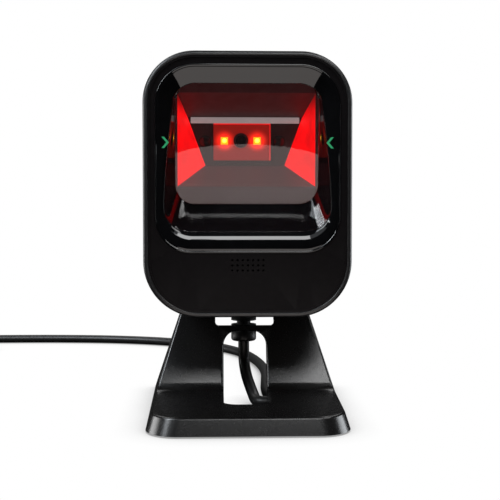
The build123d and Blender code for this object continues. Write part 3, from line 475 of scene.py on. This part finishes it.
aimer_gloss = plastic("aimer_gloss", (0.012, 0.004, 0.005), 0.1, depth=0.0, dust=0.0)
chevron_green = glowing_plastic("chevron_green", (0.012, 0.2, 0.08), 0.4, (0.012, 0.2, 0.075), 0.85)
screw_steel = metal("screw_steel", (0.2, 0.2, 0.21), 0.35)
hinge_steel = metal("hinge_steel", (0.55, 0.55, 0.56), 0.35)
plug_nickel = metal("plug_nickel", (0.72, 0.72, 0.74), 0.22)
ballast_steel = metal("ballast_steel", (0.4, 0.4, 0.4), 0.4)
# Painted red glow on the side panels standing in for the LEDs' light: full below the back panel's top,
# painted shade above it
reflector_painted_red_glow = painted_red_glow(
    "reflector_painted_red_glow", (1.0, 0.001, 0.003), 1.15, panel_high.z - RED_EASE, panel_high.z + RED_EASE, 1.0, 0.14
)
# Painted red glow in the chamber standing in for the LEDs' light, rising from 0.7 at the back panel's foot
# to full at its top
chamber_painted_red_glow = painted_red_glow("chamber_painted_red_glow", (1.0, 0.01, 0.012), 0.85, panel_low.z, panel_high.z, 0.7, 1.0)
lamp_boxes = [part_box(node) for node in LAMP_NODES]
# Painted pool of red light from the LEDs on their board, over a painted red glow all across it
board_painted_red_glow = lamp_glow("board_painted_red_glow", lamp_boxes, BOARD_REACH, 2.2, (1.0, 0.02, 0.008), 0.24)
light_hot = lamp_glow("light_hot", lamp_boxes, LAMP_REACH, 12.0, (1.0, 0.5, 0.02), 1.2)

finish_of_slot = {
    "housing": housing_plastic,
    "bezel": bezel_plastic,
    "surround": gloss_black,
    "window": pane_glass,
    "gasket": seal_rubber,
    "hood": hood_plastic_painted_glow,
    "reflector": reflector_painted_red_glow,
    "panel": panel_plastic_painted_glow,
    "bar": bar_plastic_painted_highlight,
    "chamber": chamber_painted_red_glow,
    "board": board_green,
    "light": light_hot,
    "barrel": chip_black,
    "lens": aimer_gloss,
    "aimer": aimer_gloss,
    "chip": chip_black,
    "jack": jack_white,
    "speaker": chip_black,
    "cloth": cloth_black,
    "chevron": chevron_green,
    "screw": screw_steel,
    "hinge": hinge_steel,
    "washer": washer_nylon,
    "stand": stand_plastic,
    "cover": cover_plastic,
    "ballast": ballast_steel,
    "foot": foot_rubber,
    "boot": boot_rubber,
    "cable": cable_jacket,
    "tie": plug_rubber,
    "plug_body": plug_rubber,
    "plug_shell": plug_nickel,
    "plug_tongue": tongue_plastic,
}


# ---------------------------------------------------------------- cable

CABLE_DIAMETER = 5.0 * MM
BASE_FRONT = stand_low.y
FLOOR_RUN = 2.55            # middle of the cable above the table, mm

# The route as (x, depth behind the base's front edge, height), mm: from the boot down to the table
drop_route = [
    (0.0, 77.0, 26.0),
    (0.0, 77.0, 18.4),
    (0.3, 74.5, 14.8),
    (1.1, 69.8, 10.8),
    (2.3, 65.6, 7.6),
    (3.6, 61.2, 4.6),
    (4.4, 57.8, 2.9),
]
# Round the bight under the stand, out behind it and away to the coil
run_route = [
    (5.2, 54.6, FLOOR_RUN),
    (8.4, 52.6, FLOOR_RUN),
    (11.7, 53.6, FLOOR_RUN),
    (13.0, 57.4, FLOOR_RUN),
    (12.4, 62.8, FLOOR_RUN),
    (10.7, 69.2, FLOOR_RUN),
    (10.3, 80.5, FLOOR_RUN),
    (11.3, 99.5, FLOOR_RUN),
    (13.0, 129.0, FLOOR_RUN),
    (10.2, 162.0, FLOOR_RUN),
    (2.6, 193.0, FLOOR_RUN),
    (-13.0, 219.0, FLOOR_RUN),
    (-40.0, 239.0, FLOOR_RUN),
    (-74.0, 251.5, FLOOR_RUN),
    (-112.0, 256.5, FLOOR_RUN),
    (-150.0, 257.0, FLOOR_RUN),
]
# From the coil's last turn down to the plug
tail_route = [
    (-224.0, 217.5, 10.8),
    (-225.6, 211.5, 9.6),
    (-226.0, 207.0, 5.8),
    (-225.2, 203.4, 3.1),
    (-224.5, 200.0, FLOOR_RUN),
    (-224.5, 195.0, FLOOR_RUN),
]

COIL_X = -192.0
COIL_DEPTH = 223.5
COIL_START = math.radians(90.0)
TURN_POINTS = 16            # points per turn of the coil
STEP_SHARE = 0.3            # the last share of a turn, in which it steps to the next layer
# Each turn of the coil as (radius, height), mm
coil_layers = [
    (31.5, 2.6),
    (26.7, 2.6),
    (21.9, 2.6),
    (24.3, 6.8),
    (29.1, 6.8),
    (22.1, 10.8),
    (26.7, 10.8),
    (31.5, 10.8),
]


def coil_route():
    """The coil's turns: the angle runs on, and at each turn's end the cable lifts, then moves sideways.

    The last turn has no next layer, and runs a quarter of a turn further.
    """
    radius, height = np.array(coil_layers).T
    last = len(coil_layers) - 1
    turn = np.arange(TURN_POINTS * len(coil_layers) + TURN_POINTS // 4 + 1) / TURN_POINTS
    whole = np.minimum(turn.astype(int), last)
    after = np.minimum(whole + 1, last)
    share = np.where(whole < last, np.maximum(0.0, (turn - whole - (1 - STEP_SHARE)) / STEP_SHARE), 0.0)
    moved = np.maximum(0.0, 2 * share - 1)
    lifted = np.minimum(1.0, 2 * share)
    out = radius[whole] * (1 - moved) + radius[after] * moved
    up = height[whole] * (1 - lifted) + height[after] * lifted
    angle = COIL_START + 2 * math.pi * turn
    return np.stack([COIL_X + out * np.cos(angle), COIL_DEPTH + out * np.sin(angle), up], axis=1).tolist()


def route_curve(name, route):
    """A curve object with one NURBS spline through the neighbourhood of the route's points."""
    curve = bpy.data.curves.new(name, "CURVE")
    curve.dimensions = "3D"
    curve.resolution_u = 8
    spline = curve.splines.new("NURBS")
    spline.points.add(len(route) - 1)
    for point, (x, depth, z) in zip(spline.points, route):
        point.co = (x * MM, BASE_FRONT + depth * MM, z * MM, 1.0)
    spline.order_u = 3
    spline.use_endpoint_u = True
    piece = bpy.data.objects.new(name, curve)
    bpy.context.scene.collection.objects.link(piece)
    return piece


def path_of(curve_piece):
    """The points along a curve with no bevel."""
    bpy.context.view_layer.update()
    evaluated = curve_piece.evaluated_get(bpy.context.evaluated_depsgraph_get())
    mesh = bpy.data.meshes.new_from_object(evaluated)
    points = np.empty(len(mesh.vertices) * 3)
    mesh.vertices.foreach_get("co", points)
    bpy.data.meshes.remove(mesh)
    return points.reshape(-1, 3)


def tube_piece(name, path, radius, around=20):
    """A round tube with flat ends: a circle square to the path at each of its points.

    Each circle's start is the last one's with its part along the path taken away, so nothing twists.
    """
    along = np.gradient(path, axis=0)
    along /= np.linalg.norm(along, axis=1)[:, None]
    side = np.empty_like(path)
    side[0] = np.cross(along[0], [1.0, 0.0, 0.0])
    for index in range(1, len(path)):
        side[index] = side[index - 1] - along[index] * np.dot(side[index - 1], along[index])
    side /= np.linalg.norm(side, axis=1)[:, None]
    other = np.cross(along, side)
    angle = np.linspace(0.0, 2 * math.pi, around, endpoint=False)
    ring = side[:, None] * np.cos(angle)[None, :, None] + other[:, None] * np.sin(angle)[None, :, None]
    grid = path[:, None] + ring * radius
    start = np.repeat(path[:1, None], around, axis=1)
    end = np.repeat(path[-1:, None], around, axis=1)
    return finish_mesh(grid_piece(name, np.concatenate([start, grid, end])), SHARP_OF_NEW)


def make_cable():
    """One tube from the boot, down to the table, back and away to the coil and the plug."""
    route = drop_route + run_route + coil_route() + tail_route
    guide = route_curve("cable_guide", route)
    path = path_of(guide)
    bpy.data.objects.remove(guide)
    length = float(np.linalg.norm(np.diff(path, axis=0), axis=1).sum())
    cable = tube_piece("cable", path, CABLE_DIAMETER / 2)
    cable.data.materials.append(cable_jacket)
    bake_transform(cable)
    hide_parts("cable_drop", "cable_run", "cable_coil", "cable_tail")
    print("cable length", round(length, 3))
    return cable, path


cable, cable_path = make_cable()


# ---------------------------------------------------------------- window surround

# All in millimetres but for the lean and the shares
OPENING_WIDTH = 57.2        # of the surround's window opening, along the leaning pane
OPENING_HEIGHT = 48.6
OPENING_RADIUS = 7.6
OPENING_SETBACK = 9.4       # head's front face to the opening's middle
OPENING_DROP = 35.2         # head's upper edge to the opening's middle
WINDOW_LEAN = math.radians(10.0)
SURROUND_TOP_RADIUS = 15.5
SURROUND_BOTTOM_RADIUS = 14.0
BAND_DISH = 3.2             # how far the band's inner edge lies back at the top
DISH_FROM = 0.35            # shares of the surround's height between which the dish sets in
DISH_FULL = 0.9
CREST_INSET = 7.1           # outer edge to the crest where the scoop begins
SURROUND_WALL = 0.8
ROUNDING_PASSES = 3         # times the rows' corners are cut
# Across the rim and the band: how far in, how far back, and the share of the dish
band_rows = [
    (0.0, 3.0, 0.0),
    (0.0, 0.3, 0.0),
    (0.0, 0.0, 0.0),
    (0.5, -0.1, 0.0),
    (0.9, 0.25, 0.0),
    (1.3, 0.0, 0.05),
    (3.6, 0.03, 0.6),
    (5.0, 0.12, 0.85),
    (6.0, 0.58, 0.95),
]
# Down the scoop: the share of the way from the crest to the opening, and how far back of straight
scoop_rows = [(0.0, 1.08), (0.3, 1.3), (0.6, 1.1), (0.85, 0.5), (1.0, 0.0), (1.0, 0.0), (1.0, 0.9)]


def make_surround():
    """A glossy frame: a thin rim, a band that dishes in at the top, and a scoop to the window.

    Each row is a ring part of the way from the outer outline to the opening, at its own depth.
    """
    width = (surround_high.x - surround_low.x) / MM
    height = (surround_high.z - surround_low.z) / MM
    outer = rounded_outline(width, height, SURROUND_TOP_RADIUS, SURROUND_BOTTOM_RADIUS)
    inner = rounded_outline(OPENING_WIDTH, OPENING_HEIGHT, OPENING_RADIUS, OPENING_RADIUS)
    outer[:, 1] += (surround_high.z + surround_low.z) / 2 / MM
    opening_z = head_high.z / MM - OPENING_DROP
    opening_y = OPENING_SETBACK - inner[:, 1] * math.sin(WINDOW_LEAN)
    inner = np.stack([inner[:, 0], opening_z + inner[:, 1] * math.cos(WINDOW_LEAN)], axis=1)
    reach = np.linalg.norm(inner - outer, axis=1)
    rise = (outer[:, 1] - surround_low.z / MM) / height
    dish = BAND_DISH * smooth_step(rise, DISH_FROM, DISH_FULL)
    crest = CREST_INSET / reach
    rows = [(inset / reach, back + share * dish) for inset, back, share in band_rows]
    for along, sag in scoop_rows:
        rows.append((crest + (1 - crest) * along, dish * (1 - along) + opening_y * along + sag))
    grid = []
    for share, back in rows:
        place = outer * (1 - share)[:, None] + inner * share[:, None]
        grid.append(np.stack([place[:, 0], head_low.y / MM + back, place[:, 1]], axis=1))
    piece = grid_piece("window_surround_finish", cut_corners(np.array(grid), ROUNDING_PASSES) * MM)
    finish_mesh(piece, SHARP_OF_NEW)
    wall = piece.modifiers.new("wall", "SOLIDIFY")
    wall.thickness = SURROUND_WALL * MM
    wall.offset = -1.0
    dress(piece, gloss_black, "head", "window_surround")


make_surround()


# ---------------------------------------------------------------- carried-over pieces

finished = {}
for node in sorted(nodes):
    if node in CABLE_NODES or node == "window_surround":
        continue
    finished[node] = smooth_copy(node, finish_of_slot[slot_of_node[node]])
# The LED board shows painted red light from its LEDs in place of its green
finished["led_board"].data.materials[0] = board_painted_red_glow
for node in LAMP_NODES:
    finished[node].visible_glossy = False


# ---------------------------------------------------------------- studio

CONTACT_REACH = 0.014       # how near a thing must be for painted shadow on the floor, m
FLOOR_GLOW = 0.12           # what the floor gives back to things that stand on it
FLOOR_REACH = 6000.0        # the floor's half width, mm
FLOOR_Z = -0.02             # just under the feet, mm
TABLE_X = 11.0              # the mirrored table: its middle, its ends and its half width, mm
TABLE_NEAR = -53.0
TABLE_FAR = -351.5
TABLE_RADIUS = 73.0
TABLE_Z = 0.3
TABLE_COLOUR = (1.0, 0.93, 0.9)
TABLE_STRENGTH = 1.7
WORLD_LIGHT = 0.012         # how much the white round the part lights it
LIGHT_AIM = (0.0, -0.03, 0.07)
COOL = (0.9, 0.95, 1.0)
CAMERA_PLACE = (-11.4 * MM, -383.9 * MM, 83.2 * MM)
CAMERA_DOWN = 2.23          # degrees below level
CAMERA_TURN = -2.0          # degrees to the right
CAMERA_LENS = 64.8          # mm
CAMERA_SENSOR = 36.0        # mm


def make_floor():
    """A white floor with a painted soft shadow where something stands close; nothing mirrors it."""
    reach = FLOOR_REACH
    corners = [(-reach, -reach), (reach, -reach), (reach, reach), (-reach, reach)]
    floor = flat_piece("floor", [(x, y, FLOOR_Z) for x, y in corners])
    material, tree = bare_material("floor_white")
    # Painted contact shadow: the floor's glow dims where something is near
    near = add_node(tree, "AmbientOcclusion", Distance=CONTACT_REACH, samples=8)
    soften = add_node(tree, "MapRange")
    limits(soften, from_min=0.25, from_max=0.95, to_min=0.32)
    path = add_node(tree, "LightPath")
    seen = add_node(tree, "MapRange")
    limits(seen, to_min=FLOOR_GLOW)
    product = add_node(tree, "Math", operation="MULTIPLY")
    glow = add_node(tree, "Emission")
    out = add_node(tree, "OutputMaterial")
    wires = tree.links
    wires.new(near.outputs["AO"], soften.inputs["Value"])
    wires.new(path.outputs["Is Camera Ray"], seen.inputs["Value"])
    wires.new(soften.outputs[0], product.inputs[0])
    wires.new(seen.outputs[0], product.inputs[1])
    wires.new(product.outputs[0], glow.inputs["Strength"])
    wires.new(glow.outputs[0], out.inputs["Surface"])
    floor.data.materials.append(material)
    floor.visible_glossy = False


def make_table_card():
    """The table as the glass mirrors it: a glowing strip with a round far end, seen only in reflections."""
    angle = np.radians(np.linspace(0.0, -180.0, 33))
    round_end = np.stack([np.cos(angle), np.sin(angle)], axis=1) * TABLE_RADIUS + [TABLE_X, TABLE_FAR]
    left = (TABLE_X - TABLE_RADIUS, TABLE_NEAR)
    right = (TABLE_X + TABLE_RADIUS, TABLE_NEAR)
    outline = [right, *round_end.tolist(), left]
    card = flat_piece("table_card", [(x, y, TABLE_Z) for x, y in outline])
    material, tree = bare_material("table_card")
    glow = add_node(tree, "Emission", Strength=TABLE_STRENGTH, Color=(*TABLE_COLOUR, 1.0))
    out = add_node(tree, "OutputMaterial")
    tree.links.new(glow.outputs[0], out.inputs["Surface"])
    card.data.materials.append(material)
    card.visible_camera = False
    card.visible_diffuse = False
    card.visible_shadow = False
    card.visible_transmission = False


def soft_light(name, place, width, height, power, colour=WHITE):
    """A rectangular lamp aimed at the part: its place and size in metres, its power in watts."""
    lamp = bpy.data.lights.new(name, "AREA")
    lamp.shape = "RECTANGLE"
    lamp.size = width
    lamp.size_y = height
    lamp.energy = power
    lamp.color = colour
    piece = bpy.data.objects.new(name, lamp)
    bpy.context.scene.collection.objects.link(piece)
    piece.location = place
    away = Vector(place) - Vector(LIGHT_AIM)
    piece.rotation_euler = away.to_track_quat("Z", "Y").to_euler()


def make_world():
    """White where the camera sees it, dim elsewhere."""
    world = bpy.data.worlds.new("studio")
    bpy.context.scene.world = world
    world.use_nodes = True
    tree = world.node_tree
    tree.nodes.clear()
    path = add_node(tree, "LightPath")
    dim = add_node(tree, "Background", Color=(*WHITE, 1.0), Strength=WORLD_LIGHT)
    white = add_node(tree, "Background", Color=(*WHITE, 1.0), Strength=1.0)
    mix = add_node(tree, "MixShader")
    out = add_node(tree, "OutputWorld")
    tree.links.new(path.outputs["Is Camera Ray"], mix.inputs[0])
    tree.links.new(dim.outputs[0], mix.inputs[1])
    tree.links.new(white.outputs[0], mix.inputs[2])
    tree.links.new(mix.outputs[0], out.inputs[0])


def make_camera():
    """The camera in front, a little to the left, looking slightly down."""
    lens = bpy.data.cameras.new("camera")
    lens.sensor_width = CAMERA_SENSOR
    lens.lens = CAMERA_LENS
    camera = bpy.data.objects.new("camera", lens)
    bpy.context.scene.collection.objects.link(camera)
    camera.location = CAMERA_PLACE
    camera.rotation_euler = (math.radians(90.0 - CAMERA_DOWN), 0.0, math.radians(CAMERA_TURN))
    bpy.context.scene.camera = camera


make_floor()
make_table_card()
soft_light("front_right_box", (0.12, -0.6, 0.6), 0.3, 0.24, 2.0)
soft_light("front_left_box", (-0.54, -0.38, 0.56), 0.18, 0.34, 4.0, COOL)
soft_light("top_right_box", (0.42, -0.2, 0.72), 0.3, 0.3, 1.6)
soft_light("top_left_box", (-0.42, -0.2, 0.72), 0.3, 0.3, 1.6, (0.86, 0.93, 1.0))
soft_light("front_fill", (-0.05, -0.62, 0.62), 0.9, 0.3, 0.7, COOL)
soft_light("left_side", (-0.8, 0.14, 0.12), 0.45, 0.4, 4.0)
soft_light("right_side", (0.8, 0.14, 0.12), 0.45, 0.4, 4.0, (0.92, 0.96, 1.0))
soft_light("rear_top", (0.0, 0.8, 0.9), 1.2, 0.5, 4.0)
make_world()
make_camera()

bpy.context.scene.view_settings.view_transform = "Standard"
